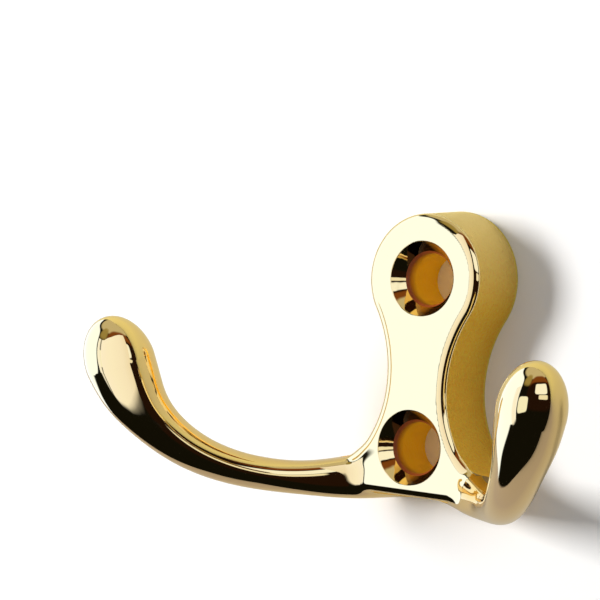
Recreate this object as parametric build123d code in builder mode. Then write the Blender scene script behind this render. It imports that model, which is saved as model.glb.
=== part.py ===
"""A double-prong wall hook, cast in one piece of brass-coloured metal.

The back of the plate lies on the wall plane y = 0 and the front faces -Y, with Z up.
The origin is on the wall plane, midway between the two screw holes. Lengths are in
millimetres and angles in degrees.
"""
from build123d import *
import os
from math import cos, radians, sin

os.makedirs("parts", exist_ok=True)

# Screw holes, one above the other, countersunk from the front
hole_spacing = 18.0
bore_radius = 2.75
countersink_radius = 4.0
countersink_angle = 70.0

# Plate's outline where it lies on the wall: a round lobe, a waist, and a foot that flares into the arms
plate_thickness = 7.2
plate_draft = 4.5
lobe_radius = 7.45
waist_half_width = 4.36
waist_height = -2.0
flare_radius = 12.0
flare_turn = 45.0
foot_height = -14.7
edge_round = 0.6

# Arms: how far each bulb stands out sideways and forward, and how far its middle line dips and rises
arm_spread = 26.05
arm_projection = 25.5
arm_low_height = -13.35
arm_lift = 12.45

# Arm's half heights at its root, where it is thinnest, below the bulb and at the bulb
root_radius = 2.65
stem_radius = 1.77
neck_radius = 2.3
bulb_radius = 3.7

# Arm's width over its height, on the stem and at the bulb
stem_width_ratio = 1.16
bulb_width_ratio = 0.92

# Corners of the outline, worked out so that each arc runs smoothly into the next
lobe_centre = Vector(0, hole_spacing / 2)
lobe_top = lobe_centre + Vector(0, lobe_radius)
waist = Vector(waist_half_width, waist_height)
waist_drop = lobe_centre.Y - waist_height
lobe_overhang = lobe_radius - waist_half_width
flank_radius = (waist_half_width**2 + waist_drop**2 - lobe_radius**2) / (2 * lobe_overhang)
flank_centre = waist + Vector(flank_radius, 0)
lobe_end = lobe_centre + (flank_centre - lobe_centre).normalized() * lobe_radius
turn = radians(flare_turn)
flare_end = waist + Vector(flare_radius * (1 - cos(turn)), -flare_radius * sin(turn))
toe_radius = (flare_end.Y - foot_height) / (1 + sin(turn))
foot_end = Vector(flare_end.X - toe_radius * cos(turn), foot_height)


def between(start, end, share):
    """Value at a share of the way from one size to another."""
    return start + (end - start) * share


# Right arm's middle line: inside the foot, its bend forward, its dip, its rise, its neck and the bulb
arm_course = [
    Vector(arm_spread * 0.146, -arm_projection * 0.094, arm_low_height + arm_lift * 0.104),
    Vector(arm_spread * 0.349, -arm_projection * 0.241, arm_low_height + arm_lift * 0.012),
    Vector(arm_spread * 0.56, -arm_projection * 0.471, arm_low_height),
    Vector(arm_spread * 0.772, -arm_projection * 0.743, arm_low_height + arm_lift * 0.181),
    Vector(arm_spread * 0.929, -arm_projection * 0.927, arm_low_height + arm_lift * 0.598),
    Vector(arm_spread, -arm_projection, arm_low_height + arm_lift),
]

# Sections across the arm: place along its line, half height, and width over height
arm_sections = [
    (0, root_radius, stem_width_ratio),
    (0.1, between(root_radius, stem_radius, 0.25), stem_width_ratio),
    (0.2, between(root_radius, stem_radius, 0.65), stem_width_ratio),
    (0.3, between(root_radius, stem_radius, 0.9), stem_width_ratio),
    (0.4, stem_radius, stem_width_ratio),
    (0.56, between(stem_radius, neck_radius, 0.3), between(stem_width_ratio, bulb_width_ratio, 0.25)),
    (0.7, neck_radius, between(stem_width_ratio, bulb_width_ratio, 0.5)),
    (0.82, between(neck_radius, bulb_radius, 0.5), between(stem_width_ratio, bulb_width_ratio, 0.7)),
    (0.93, bulb_radius, bulb_width_ratio),
    (1, bulb_radius, bulb_width_ratio),
]

with BuildPart() as arm:
    with BuildLine(mode=Mode.PRIVATE) as middle:
        Spline(arm_course)
    for place, half_height, width_ratio in arm_sections:
        along = middle.line % place
        level = Vector(0, 0, 1).cross(along)
        across = Plane(origin=middle.line @ place, x_dir=level, z_dir=along)
        with BuildSketch(across):
            Ellipse(half_height * width_ratio, half_height)
    loft()
    # The bulb's end is half of a flattened ball, turned about the bulb's level width
    bulb_half_width = bulb_radius * bulb_width_ratio
    with BuildSketch(across):
        with BuildLine():
            EllipticalCenterArc((0, 0), bulb_half_width, bulb_radius, start_angle=0, arc_size=180)
            Line((-bulb_half_width, 0), (bulb_half_width, 0))
        make_face()
    revolve(axis=Axis(across.origin, across.x_dir), revolution_arc=180)

with BuildPart() as wall_hook:
    with BuildSketch(Plane.XZ):
        with BuildLine():
            TangentArc(lobe_top, lobe_end, tangent=(1, 0))
            TangentArc(waist, lobe_end, tangent=(0, 1))
            TangentArc(waist, flare_end, tangent=(0, -1))
            TangentArc(flare_end, foot_end, tangent=(sin(turn), -cos(turn)))
            Line(foot_end, (0, foot_height))
            mirror(about=Plane.YZ)
        make_face()
    extrude(amount=plate_thickness, taper=plate_draft)
    fillet(faces().sort_by(Axis.Y)[0].edges(), edge_round)

    # Both arms join the foot, and what reaches behind the wall plane is cut off flat
    add(arm.part)
    mirror(arm.part, about=Plane.YZ)
    split(bisect_by=Plane.XZ, keep=Keep.TOP)

    with Locations(Plane.XZ.offset(plate_thickness)):
        with Locations((0, hole_spacing / 2), (0, -hole_spacing / 2)):
            CounterSinkHole(bore_radius, countersink_radius, counter_sink_angle=countersink_angle)

wall_hook.part.label = "wall_hook"
export_step(wall_hook.part, "parts/wall_hook.step")
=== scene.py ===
# %% [markdown]
# # A polished wall hook
#
# The real thing is one casting: a keyhole-shaped plate with two countersunk screw holes, and two arms that
# leave its foot, dip and rise to rounded bulbs. Its front, its arms and its bulbs are polished like a
# mirror, and the sides of the plate and the bores keep the sandy look of plated casting skin. A mirror
# shows every ripple of a surface, so most of this script is about one smooth skin, and about what that skin
# has to reflect.

# %% Load the frame
import math
import bmesh
import bpy
import numpy as np
from mathutils import Matrix, Vector


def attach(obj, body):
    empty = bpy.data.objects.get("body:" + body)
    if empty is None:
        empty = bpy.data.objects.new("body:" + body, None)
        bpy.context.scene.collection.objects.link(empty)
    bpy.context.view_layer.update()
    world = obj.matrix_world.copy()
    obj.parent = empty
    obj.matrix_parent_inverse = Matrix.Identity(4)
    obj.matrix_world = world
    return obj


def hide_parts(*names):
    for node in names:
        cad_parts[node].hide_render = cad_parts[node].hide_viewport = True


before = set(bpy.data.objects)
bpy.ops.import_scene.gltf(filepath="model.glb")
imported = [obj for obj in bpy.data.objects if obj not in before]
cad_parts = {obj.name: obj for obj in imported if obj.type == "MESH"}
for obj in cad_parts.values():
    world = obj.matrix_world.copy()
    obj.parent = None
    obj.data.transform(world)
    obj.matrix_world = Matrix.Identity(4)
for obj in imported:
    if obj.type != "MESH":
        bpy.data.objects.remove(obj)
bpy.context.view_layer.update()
mm = 0.001

# %% [markdown]
# ## Camera
#
# The photograph was taken from the right of the hook with a long lens. The camera could be placed by eye,
# but two countersunk circles and two mirrored arms pin it down far better: these angles were solved from
# them. The camera is turned about its own axis a little, as a hand-held one is.

# %% Camera
camera_azimuth = math.radians(36.25)
camera_elevation = math.radians(1.59)
camera_roll = math.radians(4.33)
camera_distance = 296.7 * mm
camera_right_shift = -16.95 * mm
camera_up_shift = 5.61 * mm
camera_lens = 164.8
camera_near_clip = 10 * mm


def put_in_scene(name, data):
    """A new object that shows this data, linked to the scene."""
    thing = bpy.data.objects.new(name, data)
    bpy.context.scene.collection.objects.link(thing)
    return thing


flat_distance = math.cos(camera_elevation)
back = Vector((math.sin(camera_azimuth) * flat_distance, -math.cos(camera_azimuth) * flat_distance,
               math.sin(camera_elevation)))
right = Vector((math.cos(camera_azimuth), math.sin(camera_azimuth), 0))
up = back.cross(right)
rolled_right = right * math.cos(camera_roll) + up * math.sin(camera_roll)
rolled_up = up * math.cos(camera_roll) - right * math.sin(camera_roll)

camera = put_in_scene("camera", bpy.data.cameras.new("camera"))
camera.data.lens = camera_lens
camera.data.clip_start = camera_near_clip
axes = Matrix((rolled_right, rolled_up, back)).transposed()
camera_place = back * camera_distance + right * camera_right_shift + up * camera_up_shift
camera.matrix_world = Matrix.Translation(camera_place) @ axes.to_4x4()
bpy.context.scene.camera = camera
print("camera at", [round(value / mm, 1) for value in camera.matrix_world.translation], "mm")

# %% [markdown]
# ## Sizes of the casting
#
# The same sizes as in the solid, in millimetres until the mesh is made: the plate's outline is a chain of
# arcs that run into each other, and each arm is an oval carried along a line in space. The polisher's wheel
# has taken the front edge of the plate down to a soft band, which ends in a clear line against the sandy
# side.

# %% Sizes
hole_spacing = 18.0
bore_radius = 2.75
countersink_radius = 4.0
countersink_angle = math.radians(70)

plate_thickness = 7.2
plate_draft = math.tan(math.radians(4.5))
lobe_centre = np.array([0, hole_spacing / 2])
lobe_radius = 7.45
waist = np.array([4.36, -2.0])
flare_radius = 12.0
flare_turn = math.radians(45)
foot_height = -14.7
band_width = 0.95
band_radius = 1.12
edge_radius = 0.12

arm_spread = 26.05
arm_projection = 25.5
arm_low_height = -13.35
arm_lift = 12.45
arm_course = np.array([
    (arm_spread * 0.146, -arm_projection * 0.094, arm_low_height + arm_lift * 0.104),
    (arm_spread * 0.349, -arm_projection * 0.241, arm_low_height + arm_lift * 0.012),
    (arm_spread * 0.56, -arm_projection * 0.471, arm_low_height),
    (arm_spread * 0.772, -arm_projection * 0.743, arm_low_height + arm_lift * 0.181),
    (arm_spread * 0.929, -arm_projection * 0.927, arm_low_height + arm_lift * 0.598),
    (arm_spread, -arm_projection, arm_low_height + arm_lift),
])
# distance along the arm, half height and half width
arm_girth = np.array([
    (0, 2.65, 2.65),
    (5, 2.35, 2.42),
    (10, 1.88, 2.08),
    (15, 1.77, 2.03),
    (20, 1.9, 2.13),
    (25, 2.2, 2.37),
    (30, 2.8, 2.78),
    (33, 3.41, 3.22),
    (36, 3.76, 3.45),
])
# the bulb's end is half an oval ball this long, and the arm's line is cut this much shorter for it
bulb_end = 5.2
bulb_flat = 1.6
print("across both bulbs:", round(2 * (arm_spread + arm_girth[-1, 2]), 1), "mm")

# %% [markdown]
# ## Smooth lines
#
# A line through given points could be a Blender curve, but here the exact place and direction are needed
# for any distance along it, thousands at a time. A natural cubic spline gives both with a small table of
# second differences, and its curvature never jumps, which a mirror would show.

# %% Cubic spline
def bends(knots, values):
    """Second derivatives at the knots of the smoothest cubic through the values, with none at either end."""
    steps = np.diff(knots)[:, None]
    slopes = np.diff(values, axis=0) / steps
    count = len(knots)
    system = np.eye(count)
    inner = np.arange(1, count - 1)
    system[inner, inner - 1] = steps[:-1, 0]
    system[inner, inner] = 2 * (steps[:-1, 0] + steps[1:, 0])
    system[inner, inner + 1] = steps[1:, 0]
    wanted = np.zeros(values.shape)
    wanted[1:-1] = 6 * np.diff(slopes, axis=0)
    return np.linalg.solve(system, wanted)


def along_spline(knots, values, curvatures, at):
    """Value and first derivative of the cubic spline at each place, carried on straight past either end."""
    held = np.clip(at, knots[0], knots[-1])
    cell = np.clip(np.searchsorted(knots, held) - 1, 0, len(knots) - 2)
    step = (knots[cell + 1] - knots[cell])[:, None]
    low, high = (knots[cell + 1] - held)[:, None] / step, (held - knots[cell])[:, None] / step
    first, last = values[cell], values[cell + 1]
    bend_first, bend_last = curvatures[cell], curvatures[cell + 1]
    bow = ((low**3 - low) * bend_first + (high**3 - high) * bend_last) * step**2 / 6
    turn = ((1 - 3 * low**2) * bend_first + (3 * high**2 - 1) * bend_last) * step / 6
    place = low * first + high * last + bow
    slope = (last - first) / step + turn
    return place + slope * (at - held)[:, None], slope


course_knots = np.concatenate([[0], np.cumsum(np.linalg.norm(np.diff(arm_course, axis=0), axis=1))])
course_bends = bends(course_knots, arm_course)
arm_length = course_knots[-1]
girth_knots = arm_girth[:, 0] * (arm_length - bulb_flat) / arm_girth[-1, 0]
girth_bends = bends(girth_knots, arm_girth[:, 1:])
print("arm's middle line is", round(float(arm_length), 2), "mm long")

# %% [markdown]
# ## How far is a point from the casting?
#
# A fillet where an oval arm runs into a drafted plate is hard to build as patches. It is easy as a field: a
# number for each point in space, below zero inside the metal and above zero outside. Each simple body has
# its own field, the smaller of two fields joins the bodies, and a rounded smaller joins them with a soft
# corner.

# %% Fields
def soft_least(first, second, softness):
    """The smaller of two fields, rounded off where they differ by less than the softness."""
    share = np.clip(0.5 + 0.5 * (second - first) / softness, 0, 1)
    return second + (first - second) * share - softness * share * (1 - share)


def smooth_step(low, high, value):
    """Runs from 0 at low to 1 at high with a smooth start and end."""
    share = np.clip((value - low) / (high - low), 0, 1)
    return share**2 * (3 - 2 * share)


lobe_overhang = lobe_radius - waist[0]
waist_drop = lobe_centre[1] - waist[1]
flank_radius = (waist[0]**2 + waist_drop**2 - lobe_radius**2) / (2 * lobe_overhang)
flank_centre = waist + [flank_radius, 0]
flare_centre = waist + [flare_radius, 0]
flare_end = flare_centre - flare_radius * np.array([math.cos(flare_turn), math.sin(flare_turn)])
toe_radius = (flare_end[1] - foot_height) / (1 + math.sin(flare_turn))
toe_centre = flare_end - toe_radius * np.array([math.cos(flare_turn), math.sin(flare_turn)])
# a field's size where the nearest surface is too far away to matter
far_off = 9.0


def outline_field(x, z):
    """Distance from the plate's outline on the wall: that of the arc whose sector the point lies in."""
    from_lobe = np.hypot(x, z - lobe_centre[1]) - lobe_radius
    from_flank = flank_radius - np.hypot(x - flank_centre[0], z - flank_centre[1])
    from_flare = flare_radius - np.hypot(x - flare_centre[0], z - flare_centre[1])
    from_toe = np.hypot(x - toe_centre[0], z - toe_centre[1]) - toe_radius
    from_toe = np.where(x > toe_centre[0], from_toe, -far_off)
    reach = flank_centre - lobe_centre
    above = (z - lobe_centre[1]) * reach[0] - x * reach[1] > 0
    under = z - flare_centre[1] < (x - flare_centre[0]) * math.tan(flare_turn)
    lower = np.where(under, from_toe, from_flare)
    side = np.where(above, from_lobe, np.where(z > waist[1], from_flank, lower))
    return np.maximum(side, foot_height - z)


def plate_fields(points):
    """Side and front fields of the plate. The front is flat, and rolls off on a large arc along the band."""
    x, y, z = np.abs(points[:, 0]), points[:, 1], points[:, 2]
    side = (outline_field(x, z) - plate_draft * y) / math.hypot(1, plate_draft)
    front = -y - plate_thickness
    roll = np.hypot(side + band_width, front + band_radius) - band_radius
    return side, np.where((side > -band_width) & (front > -band_radius), roll, front)


def mirrored(points):
    """The points as the right half sees them."""
    return points * np.where(points[:, :1] < 0, [-1, 1, 1], [1, 1, 1])


sample_count = 300
batch_size = 20000
sample_places = np.linspace(0, arm_length, sample_count)
sample_points = along_spline(course_knots, arm_course, course_bends, sample_places)[0]


def nearest_place(points):
    """Distance along the arm of the sample nearest to each point, worked out in batches to save memory."""
    place = np.empty(len(points))
    for start in range(0, len(points), batch_size):
        part = points[start:start + batch_size]
        gaps = ((part[:, None, :] - sample_points[None]) ** 2).sum(axis=2)
        place[start:start + batch_size] = sample_places[gaps.argmin(axis=1)]
    return place


def arm_frame(place):
    """Point on the arm's middle line, the line's direction, and the level and rising directions across it."""
    centre, along = along_spline(course_knots, arm_course, course_bends, place)
    along = along / np.linalg.norm(along, axis=1)[:, None]
    level = np.stack([-along[:, 1], along[:, 0], 0 * place], axis=1)
    level /= np.linalg.norm(level, axis=1)[:, None]
    return centre, along, level, np.cross(along, level)


def beside(points, place):
    """Refines the place along the arm twice: it moves on by how far each point is still ahead of it."""
    for _ in range(2):
        centre, along = along_spline(course_knots, arm_course, course_bends, place)
        ahead = ((points - centre) * along).sum(axis=1) / (along**2).sum(axis=1)
        place = np.clip(place + ahead, 0, girth_knots[-1])
    return place


root_squareness = 1.2
square_length = 6
round_length = 16


def arm_field(points, place):
    """Distance from the arm, about: an oval across its middle line, squarish at the root and then round."""
    points = mirrored(points)
    place = beside(points, place)
    centre, along, level, rising = arm_frame(place)
    girth = along_spline(girth_knots, arm_girth[:, 1:], girth_bends, place)[0]
    offset = points - centre
    width = np.abs((offset * level).sum(axis=1)) / girth[:, 1]
    height = np.abs((offset * rising).sum(axis=1)) / girth[:, 0]
    onward = (offset * along).sum(axis=1) / bulb_end
    power = 2 + root_squareness * (1 - smooth_step(square_length, round_length, place))
    across = (width**power + height**power) ** (1 / power)
    return (np.hypot(across, onward) - 1) * girth.min(axis=1)


# the corner between arm and plate is small at the foot, and softer from one height to the next
foot_softness = 0.7
added_softness = 1.3
softer_from = -11.5
softer_to = -9.5


def hook_field(points, place):
    """Distance from the whole casting, without its holes and its flat back, which are cut later."""
    side, front = plate_fields(points)
    plate = -soft_least(-side, -front, edge_radius)
    softness = foot_softness + added_softness * smooth_step(softer_from, softer_to, points[:, 2])
    return soft_least(plate, arm_field(points, place), softness)


def slope_of(points, place):
    """Field and its gradient, from small steps each way along the three axes."""
    step = 0.01
    gradient = np.empty(points.shape)
    for axis in range(3):
        shift = np.zeros(3)
        shift[axis] = step
        gradient[:, axis] = hook_field(points + shift, place) - hook_field(points - shift, place)
    return hook_field(points, place), gradient / (2 * step)


front_middle = np.array([[0, -plate_thickness - 1, 0]])
front_distance = hook_field(front_middle, nearest_place(front_middle))[0]
print("field 1 mm in front of the plate:", round(float(front_distance), 3))

# %% [markdown]
# ## Rough bodies
#
# The skin needs a mesh to start from. Ovals carried along the middle line make the arms, and the outline
# carried from behind the wall to the front makes the plate. They overlap, and Blender's voxel remesh turns
# them into one closed skin of small, even squares. On its own that skin is lumpy, but its points are near
# the right places.

# %% Rough bodies
def outline_points():
    """The plate's outline on the wall, clockwise from its top: the arcs of the right half, then mirrored."""
    def arc(centre, radius, start, end, count):
        angle = np.linspace(start, end, count, endpoint=False)
        return np.stack([centre[0] + radius * np.cos(angle), centre[1] + radius * np.sin(angle)], axis=1)
    lean = math.atan2(*(flank_centre - lobe_centre)[::-1])
    half = np.concatenate([
        arc(lobe_centre, lobe_radius, math.pi / 2, lean, count=60)[1:],
        arc(flank_centre, flank_radius, math.pi + lean, math.pi, count=40),
        arc(flare_centre, flare_radius, math.pi, math.pi + flare_turn, count=40),
        arc(toe_centre, toe_radius, flare_turn, -math.pi / 2, count=30),
        [[toe_centre[0], foot_height]],
    ])
    return np.concatenate([[[0, lobe_centre[1] + lobe_radius]], half, half[::-1] * [-1, 1]])


def drawn_in(outline, depth):
    """The outline, each point moved straight inward by the depth."""
    onward = np.roll(outline, -1, axis=0) - np.roll(outline, 1, axis=0)
    return outline + onward[:, ::-1] * [1, -1] / np.linalg.norm(onward, axis=1)[:, None] * depth


behind_wall = 1.0


def plate_body():
    """A prism on the outline, from behind the wall plane to the front, where it is narrower by the draft."""
    outline = outline_points()
    count = len(outline)
    front_outline = drawn_in(outline, plate_draft * plate_thickness)
    vertices = np.concatenate([
        np.stack([outline[:, 0], np.full(count, behind_wall), outline[:, 1]], axis=1),
        np.stack([front_outline[:, 0], np.full(count, -plate_thickness), front_outline[:, 1]], axis=1),
    ])
    ring = np.arange(count)
    after = (ring + 1) % count
    sides = np.stack([ring, after, after + count, ring + count], axis=1).tolist()
    return vertices, sides + [ring[::-1].tolist(), (ring + count).tolist()]


def grid_faces(rows, columns):
    """Four-cornered faces of a grid that closes on itself across its columns."""
    row, column = np.meshgrid(np.arange(rows - 1), np.arange(columns), indexing="ij")
    here, after = row * columns + column, row * columns + (column + 1) % columns
    return np.stack([here, after, after + columns, here + columns], axis=-1).reshape(-1, 4).tolist()


rings_along = 150
rings_on_end = 30
points_round_arm = 64


def arm_body(side):
    """Ovals across the middle line, drawn in past the bulb's middle as half an oval ball."""
    beyond = bulb_end * np.sin(np.linspace(0, math.pi / 2, rings_on_end))[1:-1]
    place = np.linspace(0, girth_knots[-1], rings_along)
    place = np.concatenate([place, np.full(len(beyond), girth_knots[-1])])
    beyond = np.concatenate([np.zeros(rings_along), beyond])[:, None]
    turn = np.linspace(0, 2 * math.pi, points_round_arm, endpoint=False)[None, :, None]
    centre, along, level, rising = arm_frame(place)
    girth = along_spline(girth_knots, arm_girth[:, 1:], girth_bends, place)[0]
    girth = girth * np.sqrt(1 - (beyond / bulb_end) ** 2)
    ring = np.cos(turn) * (level * girth[:, 1:])[:, None] + np.sin(turn) * (rising * girth[:, :1])[:, None]
    vertices = ((centre + along * beyond)[:, None] + ring).reshape(-1, 3)
    last = np.arange(len(vertices) - turn.size, len(vertices))
    caps = [np.arange(turn.size)[::-1].tolist(), last.tolist()]
    return vertices * [side, 1, 1], grid_faces(len(place), turn.size) + caps


def rework(mesh, work):
    """Opens the mesh for editing, lets the work change it, and writes it back."""
    shaper = bmesh.new()
    shaper.from_mesh(mesh)
    work(shaper)
    shaper.to_mesh(mesh)
    shaper.free()


def turn_outward(shaper):
    """Makes every face of a closed body point out."""
    bmesh.ops.recalc_face_normals(shaper, faces=shaper.faces)


# %% One rough skin
voxel_size = 0.185 * mm
rough = bpy.data.meshes.new("rough")
all_vertices, all_faces = [], []
for vertices, faces in (plate_body(), arm_body(1), arm_body(-1)):
    first = sum(len(part) for part in all_vertices)
    all_vertices.append(vertices)
    all_faces += [[first + corner for corner in face] for face in faces]
rough.from_pydata((np.concatenate(all_vertices) * mm).tolist(), [], all_faces)
rework(rough, turn_outward)
hook = put_in_scene("polished_hook", rough)


def bake_modifier(piece, kind, **settings):
    """Gives the piece one modifier, and keeps the mesh that comes out of it."""
    modifier = piece.modifiers.new("shape", kind)
    for name, value in settings.items():
        setattr(modifier, name, value)
    worked_out = piece.evaluated_get(bpy.context.evaluated_depsgraph_get())
    shaped = bpy.data.meshes.new_from_object(worked_out)
    piece.modifiers.clear()
    piece.data = shaped


bake_modifier(hook, "REMESH", mode="VOXEL", voxel_size=voxel_size)
print("rough skin has", len(hook.data.vertices), "points")

# %% [markdown]
# ## One smooth skin
#
# Each point now steps along the field's slope until the field is zero there, so it lies on the true
# surface. Between the steps the points are evened out, so that no square is squeezed. A subdivision surface
# would also look smooth, but it would round the flat front and lose the sizes; this keeps them to a few
# thousandths of a millimetre.

# %% Smooth skin
def as_array(mesh):
    """The mesh's points as rows of three, in millimetres."""
    flat = np.empty(len(mesh.vertices) * 3)
    mesh.vertices.foreach_get("co", flat)
    return flat.reshape(-1, 3) / mm


def edge_ends(mesh):
    """The two points of each edge."""
    flat = np.empty(len(mesh.edges) * 2, dtype=int)
    mesh.edges.foreach_get("vertices", flat)
    return flat.reshape(-1, 2).T


least_slope = 0.05
longest_step = 0.5
least_length = 1e-9


def pulled(points, rounds):
    """Newton's steps: each point moves against the slope, by the field over the slope's length."""
    place = nearest_place(mirrored(points))
    for _ in range(rounds):
        field, slope = slope_of(points, place)
        move = slope * (field / np.maximum((slope**2).sum(axis=1), least_slope))[:, None]
        length = np.maximum(np.linalg.norm(move, axis=1), least_length)
        points = points - move * np.minimum(1, longest_step / length)[:, None]
    return points, np.abs(field)


evening_rounds = 3
evening_share = 0.6
points = as_array(hook.data)
start, end = edge_ends(hook.data)
neighbours = np.bincount(np.concatenate([start, end]), minlength=len(points))[:, None]
for _ in range(evening_rounds):
    points, _ = pulled(points, rounds=2)
    total = np.zeros(points.shape)
    for axis in range(3):
        total[:, axis] = np.bincount(start, points[end, axis], len(points))
        total[:, axis] += np.bincount(end, points[start, axis], len(points))
    points = points + evening_share * (total / neighbours - points)
points, error = pulled(points, rounds=4)
hook.data.vertices.foreach_set("co", (points * mm).ravel())
hook.data.update()
in_front = points[:, 1] < 0
print("largest distance from the true surface:", round(float(error[in_front].max()), 4), "mm")

# %% [markdown]
# ## Flat back and screw holes
#
# The back is cut off along the wall plane. Each hole is turned on a lathe in the real shop, so its cutter
# here is one too: a profile carried round the hole's axis. The cutter's profile opens a little at the rim,
# because a polished rim is never knife-sharp.

# %% Back and holes
def cut_back(shaper):
    """Takes off what reaches behind the wall plane, and closes the cut."""
    everything = shaper.verts[:] + shaper.edges[:] + shaper.faces[:]
    cut = bmesh.ops.bisect_plane(shaper, geom=everything, plane_co=(0, 0, 0), plane_no=(0, 1, 0),
                                 clear_outer=True, dist=1e-7)
    rim = [part for part in cut["geom_cut"] if isinstance(part, bmesh.types.BMEdge)]
    bmesh.ops.holes_fill(shaper, edges=rim, sides=0)


rework(hook.data, cut_back)

# radius of the rounded rim, and where the ring of casting skin round the bore begins
rim_radius = 0.15
ring_radius = 3.0
cone_lean = countersink_angle / 2
rim_turn = math.pi / 2 - cone_lean
rim_out = countersink_radius + rim_radius * math.tan(rim_turn / 2)
cone_depth = (countersink_radius - bore_radius) / math.tan(cone_lean)
ring_depth = cone_depth - (ring_radius - bore_radius) / math.tan(cone_lean)
# the cutter starts in front of the plate, ends behind it, and breaks the corner between cone and bore
cutter_front = -2
cutter_back = plate_thickness + 1
mouth_wider, lip_wider, lip_front = 0.3, 0.05, -0.02
corner_wider, corner_front, corner_back = 0.04, -0.03, 0.05
# over the rim it turns from this first angle, at which it still cuts the flat front cleanly
rim_first_turn = 0.15
rim_points = 6


def hole_profile():
    """Radius and depth of the cutter: out through the rounded rim, down the cone, and through the bore."""
    angle = np.linspace(rim_first_turn, rim_turn, rim_points)
    rounded = np.stack([rim_out - rim_radius * np.sin(angle), rim_radius * (1 - np.cos(angle))], axis=1)
    lip_radius = rounded[0, 0]
    return np.concatenate([
        [[0, cutter_front], [lip_radius + mouth_wider, cutter_front], [lip_radius + lip_wider, lip_front]],
        rounded,
        [[ring_radius, ring_depth]],
        [[bore_radius + corner_wider, cone_depth + corner_front], [bore_radius, cone_depth + corner_back]],
        [[bore_radius, cutter_back], [0, cutter_back]],
    ])


points_round_hole = 128


def hole_cutter(height):
    """The profile carried round a level axis at that height, with a single point at either end."""
    profile = hole_profile()
    turn = np.linspace(0, 2 * math.pi, points_round_hole, endpoint=False)
    inner = profile[1:-1]
    depth = np.repeat(inner[:, 1:] - plate_thickness, len(turn), axis=1)
    ring = np.stack([inner[:, :1] * np.cos(turn), depth, inner[:, :1] * np.sin(turn) + height], axis=-1)
    tips = [[0, profile[0, 1] - plate_thickness, height], [0, profile[-1, 1] - plate_thickness, height]]
    vertices = np.concatenate([ring.reshape(-1, 3), tips])
    rows, columns = len(inner), len(turn)
    faces = grid_faces(rows, columns)
    last = (rows - 1) * columns
    for here in range(columns):
        after = (here + 1) % columns
        faces += [[rows * columns, after, here], [rows * columns + 1, last + here, last + after]]
    mesh = bpy.data.meshes.new("cutter")
    mesh.from_pydata((vertices * mm).tolist(), [], faces)
    rework(mesh, turn_outward)
    return put_in_scene("cutter", mesh)


hole_heights = (hole_spacing / 2, -hole_spacing / 2)
for height in hole_heights:
    cutter = hole_cutter(height)
    bpy.context.view_layer.update()
    bake_modifier(hook, "BOOLEAN", operation="DIFFERENCE", solver="EXACT", object=cutter)
    bpy.data.objects.remove(cutter)
print("after the cuts:", len(hook.data.polygons), "faces")

# %% [markdown]
# ## Normals
#
# A renderer shades by normals, and normals averaged from faces flicker a little at each cut. Here each
# corner gets the exact one: the field's slope on the skin, the lathe's own direction in the holes, and
# straight back on the back. The skin then mirrors as if it were far finer than it is.

# %% Exact normals
def split_wide_faces(shaper):
    """Cuts the faces with more than four corners into triangles."""
    bmesh.ops.triangulate(shaper, faces=[face for face in shaper.faces if len(face.verts) > 4])


rework(hook.data, split_wide_faces)
mesh = hook.data
points = as_array(mesh)
corner_point = np.empty(len(mesh.loops), dtype=int)
mesh.loops.foreach_get("vertex_index", corner_point)
corners = np.empty(len(mesh.polygons), dtype=int)
mesh.polygons.foreach_get("loop_total", corners)
centres = np.empty(len(mesh.polygons) * 3)
mesh.polygons.foreach_get("center", centres)
centres = centres.reshape(-1, 3) / mm
flat_normals = np.empty(len(mesh.polygons) * 3)
mesh.polygons.foreach_get("normal", flat_normals)
flat_normals = flat_normals.reshape(-1, 3)

slope = slope_of(points, nearest_place(mirrored(points)))[1]
skin_normals = slope / np.maximum(np.linalg.norm(slope, axis=1), least_length)[:, None]

# %% Which faces belong to the holes
# a face counts as flat above one share of facing forward or back, and as the bore's below another
flat_share = 0.999
bore_share = 0.2
mouth_margin = 0.3
back_margin = 1e-4
hole_height = np.where(centres[:, 2] > 0, *hole_heights)
from_axis = np.hypot(centres[:, 0], centres[:, 2] - hole_height)
facing = np.abs(flat_normals[:, 1])
in_hole = (from_axis < countersink_radius + mouth_margin) & (facing < flat_share)
in_hole &= centres[:, 1] < -back_margin
in_bore = in_hole & (facing < bore_share)
in_cone = in_hole & ~in_bore & (from_axis > ring_radius) & (from_axis < countersink_radius)
in_ring = in_hole & ~in_bore & (from_axis < ring_radius)
on_back = flat_normals[:, 1] > flat_share
print("faces in bores, cones and rings:", int(in_bore.sum()), int(in_cone.sum()), int(in_ring.sum()))

# %% Normals of skin, holes and back
def hole_normals(places, heights, bore):
    """Straight to the axis in the bore, leaned forward on the cone, and rolled to the front at the rim."""
    sideways, upward = places[:, 0], places[:, 2] - heights
    radius = np.hypot(sideways, upward)
    roll = np.arcsin(np.clip((rim_out - radius) / rim_radius, 0, math.sin(rim_turn)))
    inward = np.where(bore, 1, np.sin(roll))
    forward = np.where(bore, 0, np.cos(roll))
    return np.stack([-sideways / radius * inward, -forward, -upward / radius * inward], axis=1)


face_of_corner = np.repeat(np.arange(len(corners)), corners)
corner_normals = skin_normals[corner_point]
turned = hole_normals(points[corner_point], hole_height[face_of_corner], in_bore[face_of_corner])
corner_normals = np.where(in_hole[face_of_corner, None], turned, corner_normals)
corner_normals = np.where(on_back[face_of_corner, None], [0, 1, 0], corner_normals)
mesh.polygons.foreach_set("use_smooth", np.ones(len(corners), dtype=bool))
mesh.normals_split_custom_set(corner_normals.tolist())
agreement = (corner_normals * flat_normals[face_of_corner]).sum(axis=1)
least_agreement = 0.5
print("corners whose normal leaves its face:", int((agreement < least_agreement).sum()), "of", len(agreement))
print("triangles:", int((corners - 2).sum()))

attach(hook, "root")
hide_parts("wall_hook")

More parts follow.
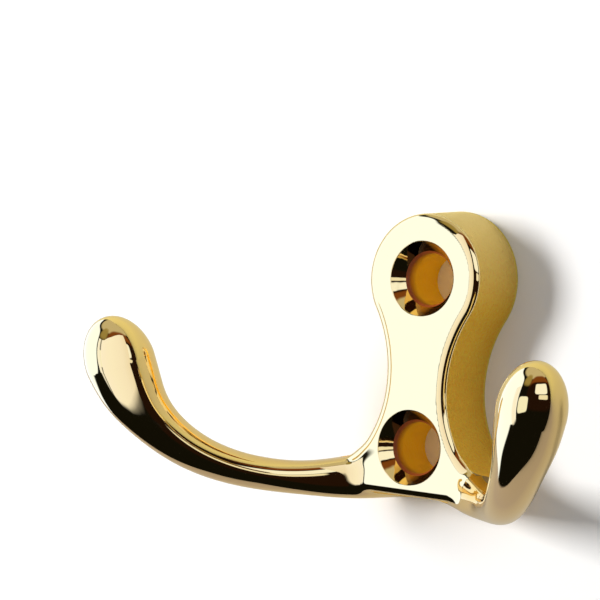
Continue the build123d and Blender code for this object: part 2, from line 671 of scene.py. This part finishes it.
# %% [markdown]
# ## Where the polish ends
#
# The polisher reaches the front, the band and the whole of each arm, but not the sides of the plate, nor
# the top and back of an arm close to its root. A mask painted by hand would follow the mesh's squares. Here
# each point carries a distance from the line where the polish ends, and the material cuts it at zero, so
# the line is crisp.

# %% Polish line
# the polish ends at the first angle at an arm's root, and opens to the second between two places along it
polish_end_angle = 56.0
polish_open_angle = 300.0
polish_root_length = 5.0
polish_full_length = 11.0
millimetres_per_degree = 0.04
changeover = 0.5


def sandy_distance(points):
    """Above zero on casting skin: behind the plate's band, and past an angle from the front on an arm."""
    near = mirrored(points)
    side, front = plate_fields(near)
    place = beside(near, nearest_place(near))
    centre, along, level, rising = arm_frame(place)
    offset = near - centre
    angle = np.degrees(np.arctan2((offset * rising).sum(axis=1), -(offset * level).sum(axis=1)))
    angle = np.where(angle < -90, angle + 360, angle)
    opened = smooth_step(polish_root_length, polish_full_length, place)
    limit = polish_end_angle + (polish_open_angle - polish_end_angle) * opened
    on_arm = (angle - limit) * millimetres_per_degree
    nearer_plate = np.minimum(arm_field(points, place), far_off) - np.maximum(side, front)
    share = smooth_step(-changeover, changeover, nearer_plate)
    return np.clip(side - front, -1, 1) * share + np.clip(on_arm, -1, 1) * (1 - share)


past_polish = sandy_distance(points)
sandy = mesh.attributes.new("sandy", "FLOAT", "POINT")
sandy.data.foreach_set("value", past_polish)
print("sandy points:", int((past_polish > 0).sum()), "of", len(points))

# %% [markdown]
# ## Finishes
#
# Plated brass is a metal: nearly all that is seen of it is its surroundings, tinted by the metal. Polish
# leaves faint waves, far too flat to model, and casting skin is a field of fine grains. Both are bumps, and
# both are groups, so that every finish here uses the same ones.

# %% Shader helpers
def add_node(tree, kind, inputs=(), **settings):
    """A node with its settings. Inputs maps a socket's name or number to a value, or to a socket to link."""
    node = tree.nodes.new(kind)
    for name, value in settings.items():
        setattr(node, name, value)
    for name, value in dict(inputs).items():
        if isinstance(value, bpy.types.NodeSocket):
            tree.links.new(value, node.inputs[name])
        else:
            node.inputs[name].default_value = value
    return node


def combine(tree, operation, *values):
    """One Math node on these values or sockets, and its result."""
    return add_node(tree, "ShaderNodeMath", dict(enumerate(values)), operation=operation).outputs[0]


def ramp(tree, value, low, high, start=0.0, end=1.0):
    """Runs from the start to the end while the value goes from low to high, and stays there beyond them."""
    return add_node(tree, "ShaderNodeMapRange", {
        "Value": value, "From Min": low, "From Max": high, "To Min": start, "To Max": end}).outputs[0]


def mix_colour(tree, share, first, second):
    """A Mix node on colours, whose colour sockets are its seventh and eighth."""
    return add_node(tree, "ShaderNodeMix", {0: share, 6: first, 7: second}, data_type="RGBA").outputs[2]


def bumped(tree, height, depth, normal=None):
    """The normal of a surface with this height on it, on top of another normal if there is one."""
    inputs = {"Strength": 1.0, "Distance": depth, "Height": height}
    if normal is not None:
        inputs["Normal"] = normal
    return add_node(tree, "ShaderNodeBump", inputs).outputs[0]


def object_place(tree):
    """Object coordinates, which stay with the piece."""
    return add_node(tree, "ShaderNodeTexCoord").outputs["Object"]


def object_axes(tree):
    """The surface's places to the right, backward and up from the piece's origin, in metres."""
    return add_node(tree, "ShaderNodeSeparateXYZ", {0: object_place(tree)}).outputs


def glossy_ray(tree):
    """One where a mirror looks at this surface, and zero where the camera or soft light does."""
    return add_node(tree, "ShaderNodeLightPath").outputs["Is Glossy Ray"]


def new_material(name):
    """A material with its node tree and its Principled BSDF."""
    material = bpy.data.materials.new(name)
    material.use_nodes = True
    return material, material.node_tree, material.node_tree.nodes["Principled BSDF"]


# %% Group helpers
def new_group(name, inputs, outputs):
    """An empty shader group with its sockets, and the two nodes that carry them."""
    tree = bpy.data.node_groups.new(name, "ShaderNodeTree")
    for socket, kind, value in inputs:
        tree.interface.new_socket(socket, in_out="INPUT", socket_type=kind).default_value = value
    for socket, kind in outputs:
        tree.interface.new_socket(socket, in_out="OUTPUT", socket_type=kind)
    return tree, tree.nodes.new("NodeGroupInput"), tree.nodes.new("NodeGroupOutput")


def use_group(tree, group, **inputs):
    """A placed group with its own values."""
    node = tree.nodes.new("ShaderNodeGroup")
    node.node_tree = group
    for name, value in inputs.items():
        socket = node.inputs[name.replace("_", " ").capitalize()]
        if isinstance(value, bpy.types.NodeSocket):
            tree.links.new(value, socket)
        else:
            socket.default_value = value
    return node


# %% Surface effects
waves, waves_in, waves_out = new_group(
    "polish_waves", [("Size", "NodeSocketFloat", 2.5 * mm)], [("Height", "NodeSocketFloat")])
scale = combine(waves, "DIVIDE", 1.0, waves_in.outputs["Size"])
ripple = add_node(waves, "ShaderNodeTexNoise", {
    "Vector": object_place(waves), "Scale": scale, "Detail": 1.0, "Roughness": 0.4})
waves.links.new(ripple.outputs["Fac"], waves_out.inputs["Height"])

patch_over_grain = 12.0
grains, grains_in, grains_out = new_group(
    "casting_grains", [("Size", "NodeSocketFloat", 0.3 * mm)],
    [("Height", "NodeSocketFloat"), ("Patches", "NodeSocketFloat")])
place = object_place(grains)
fine_scale = combine(grains, "DIVIDE", 1.0, grains_in.outputs["Size"])
broad_scale = combine(grains, "DIVIDE", fine_scale, patch_over_grain)
fine, broad = [
    add_node(grains, "ShaderNodeTexNoise", {"Vector": place, "Scale": scale, "Detail": 3.0, "Roughness": 0.6})
    for scale in (fine_scale, broad_scale)]
grains.links.new(fine.outputs["Fac"], grains_out.inputs["Height"])
grains.links.new(broad.outputs["Fac"], grains_out.inputs["Patches"])

# heights over a hole's axis between which its side changes from low to high
side_change = (-0.3 * mm, 1.2 * mm)
hole_sides, sides_in, sides_out = new_group(
    "hole_sides", [("Spacing", "NodeSocketFloat", hole_spacing * mm)], [("Above", "NodeSocketFloat")])
height = object_axes(hole_sides)["Z"]
axis_height = combine(hole_sides, "MULTIPLY", sides_in.outputs["Spacing"], 0.5)
axis_height = combine(hole_sides, "MULTIPLY", axis_height, combine(hole_sides, "SIGN", height))
over_axis = combine(hole_sides, "SUBTRACT", height, axis_height)
hole_sides.links.new(ramp(hole_sides, over_axis, *side_change), sides_out.inputs["Above"])
print("shared effects:", [group.name for group in (waves, grains, hole_sides)])

# %% [markdown]
# ## Polished and sandy brass
#
# One material carries both finishes and changes over at the polish line, as one plated skin does. The
# mirror is not quite perfect: a roughness of a few hundredths keeps the edges of reflections as soft as
# they are in the photo.

# %% Brass outside
polished_colour = (0.93, 0.71, 0.33, 1)
sandy_colour = (1.0, 0.65, 0.055, 1)
sandy_deep_colour = (1.0, 0.50, 0.025, 1)
sandy_top_light_colour = (1.0, 0.78, 0.28, 1)
sandy_edge_highlight_colour = (1.0, 0.76, 0.12, 1)
polished_roughness, sandy_roughness = 0.03, 0.42
polished_metal, sandy_metal = 1.0, 0.36
wave_depth = 0.006 * mm
grain_depth = 0.26 * mm
# where each change of tone starts and ends: across the polish line, up the lobe as painted light, towards the
# wall as a painted highlight, by grains
polish_line = (-0.02, 0.03)
lobe_top_light = (6 * mm, 17 * mm)
back_edge_highlight = (-0.4 * mm, -0.15 * mm)
grain_tones = (0.45, 0.85)
patch_share = 0.3

brass, tree, shader = new_material("polished_brass")
distance = add_node(tree, "ShaderNodeAttribute", attribute_name="sandy").outputs["Fac"]
mask = ramp(tree, distance, *polish_line)
wavy = use_group(tree, waves)
sand = use_group(tree, grains)
grain_share = combine(tree, "MULTIPLY_ADD", sand.outputs["Patches"], patch_share, sand.outputs["Height"])
sand_tone_and_light = mix_colour(tree, ramp(tree, grain_share, *grain_tones), sandy_deep_colour, sandy_colour)
_, backward, height = object_axes(tree)
# painted light: the sandy tone turns paler and yellower up the lobe, where the top catches more light
sand_tone_and_light = mix_colour(tree, ramp(tree, height, *lobe_top_light), sand_tone_and_light, sandy_top_light_colour)
# painted highlight: a paler, yellower tone along the back edge stands for the edge's bright glints
sand_tone_and_light = mix_colour(tree, ramp(tree, backward, *back_edge_highlight), sand_tone_and_light, sandy_edge_highlight_colour)
tree.links.new(mix_colour(tree, mask, polished_colour, sand_tone_and_light), shader.inputs["Base Color"])
tree.links.new(ramp(tree, mask, 0, 1, polished_roughness, sandy_roughness), shader.inputs["Roughness"])
tree.links.new(ramp(tree, mask, 0, 1, polished_metal, sandy_metal), shader.inputs["Metallic"])
waved = bumped(tree, wavy.outputs["Height"], wave_depth)
sand_height = combine(tree, "MULTIPLY", sand.outputs["Height"], mask)
tree.links.new(bumped(tree, sand_height, grain_depth, waved), shader.inputs["Normal"])
print("outside:", len(tree.nodes), "nodes")

# %% [markdown]
# ## Inside the screw holes
#
# The cone is polished too, but the ring round the bore and the bore itself keep their casting skin, and
# light that bounces about in there comes out deep orange. A camera sees the cone mirror the rest of the
# hole, many times over. That costs a renderer a lot and comes out noisy, so where a mirrored ray meets the
# hole, its metal simply has a dark tone below the hole's axis and a bright one above it, as the photo
# shows.

# %% Brass in the holes
bore_colour = (1.0, 0.74, 0.02, 1)
bore_deep_colour = (0.95, 0.52, 0.01, 1)
bore_mouth_shade_colour = (0.34, 0.07, 0.01, 1)
mirrored_low_colour = (0.035, 0.014, 0.005, 1)
mirrored_high_colour = (0.85, 0.55, 0.14, 1)
bore_roughness = 0.5
bore_grain_depth = 0.08 * mm
# painted shade: the dark reddish rim on the ring and at the bore's mouth fades out along the first millimetre
# of the bore
bore_start = cone_depth - plate_thickness
mouth_shade_fade = ((bore_start + 1.2) * mm, (bore_start - 0.1) * mm)
cone_roughness = 0.04
cone_wave_size = 1.2 * mm
cone_wave_depth = 0.01 * mm


def seen_in_mirror(tree, tone):
    """The tone itself, but for mirrored rays the dark or the bright tone of that side of the hole."""
    above = use_group(tree, hole_sides).outputs["Above"]
    mirrored_tone = mix_colour(tree, above, mirrored_low_colour, mirrored_high_colour)
    return mix_colour(tree, glossy_ray(tree), tone, mirrored_tone)


bore_brass, tree, shader = new_material("bore_brass")
shader.inputs["Metallic"].default_value = 0
shader.inputs["Roughness"].default_value = bore_roughness
sand = use_group(tree, grains)
bore_tone_and_shade = mix_colour(tree, sand.outputs["Patches"], bore_deep_colour, bore_colour)
backward = object_axes(tree)["Y"]
# painted shade: the ring round the bore and the bore's first millimetre darken to red-brown
bore_tone_and_shade = mix_colour(tree, ramp(tree, backward, *mouth_shade_fade), bore_tone_and_shade, bore_mouth_shade_colour)
tree.links.new(seen_in_mirror(tree, bore_tone_and_shade), shader.inputs["Base Color"])
tree.links.new(bumped(tree, sand.outputs["Height"], bore_grain_depth), shader.inputs["Normal"])

cone_brass, tree, shader = new_material("cone_brass")
shader.inputs["Metallic"].default_value = 1
shader.inputs["Roughness"].default_value = cone_roughness
tree.links.new(seen_in_mirror(tree, polished_colour), shader.inputs["Base Color"])
wavy = use_group(tree, waves, size=cone_wave_size)
tree.links.new(bumped(tree, wavy.outputs["Height"], cone_wave_depth), shader.inputs["Normal"])

mesh.materials.clear()
for finish in (brass, bore_brass, cone_brass):
    mesh.materials.append(finish)
mesh.polygons.foreach_set("material_index", (in_bore | in_ring).astype(int) + 2 * in_cone)
print("finishes:", [finish.name for finish in mesh.materials])

# %% [markdown]
# ## Wall
#
# The hook is fixed to a pale wall, which takes its shadow. The wall is seen from its front only, and it is
# left out where the plate covers it, so that a camera behind it still sees the hook's back in full light. A
# disc of it stays behind each bore, where the photo shows it through the screw hole.

# %% Wall
wall_reach = 3.0
# how far the wall lies behind the hook's back, and how far it reaches in under the plate's edge
wall_gap = 0.02 * mm
wall_overlap = 0.2
disc_radius = 3.1
disc_points = 48
shaper = bmesh.new()


def wall_ring(places):
    """Points of the wall joined in a ring, from places in metres."""
    ring = [shaper.verts.new((x, wall_gap, z)) for x, z in places]
    for before, here in zip(ring[-1:] + ring[:-1], ring):
        shaper.edges.new((before, here))
    return ring


wall_ring(np.array([(-1, -1), (1, -1), (1, 1), (-1, 1)]) * wall_reach)
wall_ring(drawn_in(outline_points(), wall_overlap) * mm)
bmesh.ops.triangle_fill(shaper, edges=shaper.edges[:])
turn = np.linspace(0, 2 * math.pi, disc_points, endpoint=False)
for height in hole_heights:
    disc = np.stack([disc_radius * np.cos(turn), height + disc_radius * np.sin(turn)], axis=1)
    shaper.faces.new(wall_ring(disc * mm))
shaper.normal_update()
bmesh.ops.reverse_faces(shaper, faces=[face for face in shaper.faces if face.normal.y > 0])
wall_mesh = bpy.data.meshes.new("wall")
shaper.to_mesh(wall_mesh)
shaper.free()
wall = put_in_scene("wall", wall_mesh)
print("wall:", len(wall_mesh.polygons), "faces")

# %% Paint
paint_colour = (0.95, 0.945, 0.935, 1)
paint_roughness = 0.8
# painted shade and light for mirrors: they see the wall darker than the camera does, from a grey foot to a
# paler, warm head beside the hook; and where the wall ends for them on the left
mirrored_foot_shade_colour = (0.40, 0.36, 0.38, 1)
mirrored_head_light_colour = (0.74, 0.71, 0.43, 1)
mirrored_heights = (-50 * mm, 50 * mm)
mirrored_end = (-80 * mm, -100 * mm)

paint, tree, shader = new_material("pale_wall")
shader.inputs["Roughness"].default_value = paint_roughness
mirrored_ray = glossy_ray(tree)
across, _, height = object_axes(tree)
height_share = ramp(tree, height, *mirrored_heights)
# painted reflection: mirrors see the wall shaded darkest at the foot, and lighter and warmer towards the head
mirrored_shade_and_light = mix_colour(tree, height_share, mirrored_foot_shade_colour, mirrored_head_light_colour)
tree.links.new(mix_colour(tree, mirrored_ray, paint_colour, mirrored_shade_and_light), shader.inputs["Base Color"])
clear = add_node(tree, "ShaderNodeBsdfTransparent")
behind = add_node(tree, "ShaderNodeNewGeometry").outputs["Backfacing"]
past_end = combine(tree, "MULTIPLY", ramp(tree, across, *mirrored_end), mirrored_ray)
unseen = combine(tree, "MAXIMUM", behind, past_end)
surface = add_node(tree, "ShaderNodeMixShader", {0: unseen, 1: shader.outputs[0], 2: clear.outputs[0]})
tree.links.new(surface.outputs[0], tree.nodes["Material Output"].inputs["Surface"])
wall_mesh.materials.append(paint)
print("paint:", len(tree.nodes), "nodes")

# %% [markdown]
# ## What the metal reflects
#
# In a product studio the shapes on polished metal are reflections of cards, lamps and gaps between them.
# Cards could be planes round the hook, but a world that is drawn by direction does the same with nothing in
# the way of other views. Each card is a rounded box in degrees: its azimuth runs from the front to the
# right, and its elevation from the horizon up. A card covers the ones before it in the list. Only mirrored
# rays see the cards, and plain soft light falls on the rest.

# %% Cards
room_colour = (0.006, 0.006, 0.004, 1)
rear_card = (0, 55, 60, 3, 0.3, (0.95, 0.78, 0.7))
# each card's azimuth, elevation, half width, half height, squareness, softness and colour
cards = [
    # the ceiling, and a dull part of the room below it
    (0, 100, 200, 50, 2, 0.06, (0.58, 0.56, 0.46)),
    (-14, 45, 16, 15, 3, 0.3, (0.34, 0.29, 0.12)),
    # a brown curtain on the right, nearly black except along its top
    (46, 26, 44, 36, 3, 0.1, (0.20, 0.065, 0.015)),
    (47, 12, 50, 31, 3, 0.1, (0.016, 0.007, 0.004)),
    # two windows in front of the curtain, and a third one straight ahead
    (52, 25, 25, 12.5, 6, 0.05, (1.05, 1.2, 1.6)),
    (60.5, 6.5, 17.5, 4.5, 6, 0.1, (0.95, 1.0, 1.1)),
    (-11, -6, 16, 13.5, 5, 0.06, (1.0, 1.15, 1.4)),
    # the large white card on the left, which fills the plate's flat front
    (-79, 7, 49, 39.5, 4, 0.03, (1.12, 1.42, 2.3)),
    # a warm card behind the hook, which lies across the turn from 180 to -180 degrees
    (180, *rear_card),
    (-180, *rear_card),
]
print("cards:", len(cards))

card_shape, card_in, card_out = new_group("card", [
    (name, "NodeSocketFloat", 1.0) for name in
    ("Azimuth", "Elevation", "Middle", "Height", "Half width", "Half height", "Squareness", "Softness")
], [("Share", "NodeSocketFloat")])
given = card_in.outputs


def reach(direction, middle, half_size):
    """How far a direction is from the card's middle, over its half size, to the power of its squareness."""
    away = combine(card_shape, "SUBTRACT", given[direction], given[middle])
    away = combine(card_shape, "ABSOLUTE", combine(card_shape, "DIVIDE", away, given[half_size]))
    return combine(card_shape, "POWER", away, given["Squareness"])


across = reach("Azimuth", "Middle", "Half width")
upward = reach("Elevation", "Height", "Half height")
edge = combine(card_shape, "SUBTRACT", combine(card_shape, "ADD", across, upward), 1.0)
edge = combine(card_shape, "DIVIDE", edge, given["Softness"])
edge = combine(card_shape, "DIVIDE", edge, given["Squareness"])
share = add_node(card_shape, "ShaderNodeMapRange", {"Value": edge, "From Min": 1.0, "From Max": -1.0},
                 interpolation_type="SMOOTHSTEP").outputs[0]
card_shape.links.new(share, card_out.inputs["Share"])

# %% Studio
soft_light_strength = 0.33
backdrop_strength = 1.0
white = (1, 1, 1, 1)

world = bpy.data.worlds.new("studio")
bpy.context.scene.world = world
world.use_nodes = True
tree = world.node_tree
tree.nodes.clear()
seen = add_node(tree, "ShaderNodeTexCoord").outputs["Generated"]
direction = add_node(tree, "ShaderNodeSeparateXYZ", {0: seen})
toward_front = combine(tree, "MULTIPLY", direction.outputs["Y"], -1.0)
azimuth = combine(tree, "DEGREES", combine(tree, "ARCTAN2", direction.outputs["X"], toward_front))
elevation = combine(tree, "DEGREES", combine(tree, "ARCSINE", direction.outputs["Z"]))
colour = room_colour
for middle, height, half_width, half_height, squareness, softness, tone in cards:
    share = use_group(
        tree, card_shape, azimuth=azimuth, elevation=elevation, middle=middle, height=height,
        half_width=half_width, half_height=half_height, squareness=squareness, softness=softness)
    colour = mix_colour(tree, share.outputs["Share"], colour, (*tone, 1))
studio = add_node(tree, "ShaderNodeBackground", {"Color": colour}).outputs[0]
soft = add_node(tree, "ShaderNodeBackground", {"Color": white, "Strength": soft_light_strength}).outputs[0]
backdrop = add_node(tree, "ShaderNodeBackground", {"Color": white, "Strength": backdrop_strength}).outputs[0]
rays = add_node(tree, "ShaderNodeLightPath").outputs
mirror_rays = combine(tree, "MAXIMUM", rays["Is Glossy Ray"], rays["Is Transmission Ray"])
light = add_node(tree, "ShaderNodeMixShader", {0: mirror_rays, 1: soft, 2: studio}).outputs[0]
light = add_node(tree, "ShaderNodeMixShader", {0: rays["Is Camera Ray"], 1: light, 2: backdrop}).outputs[0]
tree.links.new(light, add_node(tree, "ShaderNodeOutputWorld").inputs["Surface"])
print("studio:", len(tree.nodes), "nodes")

# %% [markdown]
# ## A card close to the left arm
#
# The left bulb shows a large pale shape that the right bulb doesn't, so it stands close by. That is a real
# surface here: straight in front of the left arm, then bent away into the distance, with its foot fading
# into the dark. Seen at a slant, as from the right bulb, its near part is clear, or its edge would draw a
# line there.

# %% Near card
# place across and forward, bottom, top, and colour; the last point is far away
card_course = np.array([
    (16, -41, -18, 60, 0.93, 0.97, 1.15),
    (4, -50, -32, 52, 1.0, 1.08, 1.4),
    (-12, -62, -54, 36, 1.04, 1.15, 1.5),
    (-30, -76, -70, 27, 1.05, 1.16, 1.6),
    (-39, -84, -72, 30, 1.05, 1.18, 1.65),
    (-318, -614, -400, 350, 1.1, 1.3, 1.9),
])
columns, rows = 60, 24
near_share = 0.8
foot_fade = 0.14
steps = np.linspace(0, 1, columns)
shares = np.append(np.linspace(0, near_share, len(card_course) - 1), 1)
course = np.stack([np.interp(steps, shares, part) for part in card_course.T], axis=1)[:, None]
rise = np.linspace(0, 1, rows)[:, None]
heights = course[..., 2:3] + (course[..., 3:4] - course[..., 2:3]) * rise
plan = np.repeat(course[..., :2], rows, axis=1)
tone = course[..., 4:] * smooth_step(0, foot_fade, rise)
column, row = np.meshgrid(np.arange(columns - 1), np.arange(rows - 1), indexing="ij")
corner = column * rows + row
after = corner + rows
card_faces = np.stack([corner, corner + 1, after + 1, after], axis=-1).reshape(-1, 4).tolist()
card_mesh = bpy.data.meshes.new("near_card")
card_points = np.concatenate([plan, heights], axis=-1).reshape(-1, 3) * mm
card_mesh.from_pydata(card_points.tolist(), [], card_faces)
glow = card_mesh.attributes.new("glow", "FLOAT_COLOR", "POINT")
glow.data.foreach_set("color", np.concatenate([tone, np.ones((columns, rows, 1))], axis=-1).ravel())
close = card_mesh.attributes.new("close", "FLOAT", "POINT")
close.data.foreach_set("value", np.repeat(steps <= near_share, rows).astype(float))
near_card = put_in_scene("near_card", card_mesh)
for kind in ("camera", "diffuse", "transmission", "shadow"):
    setattr(near_card, "visible_" + kind, False)
print("near card:", len(card_faces), "faces")

# %% Glow of the near card
clear_slant = (0.59, 0.63)
shine, tree, shader = new_material("card_glow")
tree.nodes.remove(shader)
card_colour = add_node(tree, "ShaderNodeAttribute", attribute_name="glow").outputs["Color"]
light = add_node(tree, "ShaderNodeEmission", {"Color": card_colour})
facing = add_node(tree, "ShaderNodeLayerWeight", {"Blend": 0.5}).outputs["Facing"]
is_close = add_node(tree, "ShaderNodeAttribute", attribute_name="close").outputs["Fac"]
unseen = combine(tree, "MULTIPLY", ramp(tree, facing, *clear_slant), is_close)
clear = add_node(tree, "ShaderNodeBsdfTransparent")
surface = add_node(tree, "ShaderNodeMixShader", {0: unseen, 1: light.outputs[0], 2: clear.outputs[0]})
tree.links.new(surface.outputs[0], tree.nodes["Material Output"].inputs["Surface"])
card_mesh.materials.append(shine)

# %% [markdown]
# ## Lamp
#
# One soft box stands far out on the left, in front of the wall. It draws the hook's shadow to the right, as
# in the photo, and mirrors don't see it, because the cards already stand for every lamp that they show.

# %% Lamp
lamp_place = Vector((-0.83, -0.86, 0.14))
lamp = put_in_scene("soft_box", bpy.data.lights.new("soft_box", "AREA"))
lamp.data.shape = "RECTANGLE"
lamp.data.size = 0.36
lamp.data.size_y = 0.45
lamp.data.energy = 16.5
lamp.location = lamp_place
lamp.rotation_euler = (-lamp_place).to_track_quat("-Z", "Y").to_euler()
lamp.visible_glossy = False
print("lamp is", round(lamp_place.length, 2), "m from the hook")

bpy.context.scene.view_settings.view_transform = "Standard"
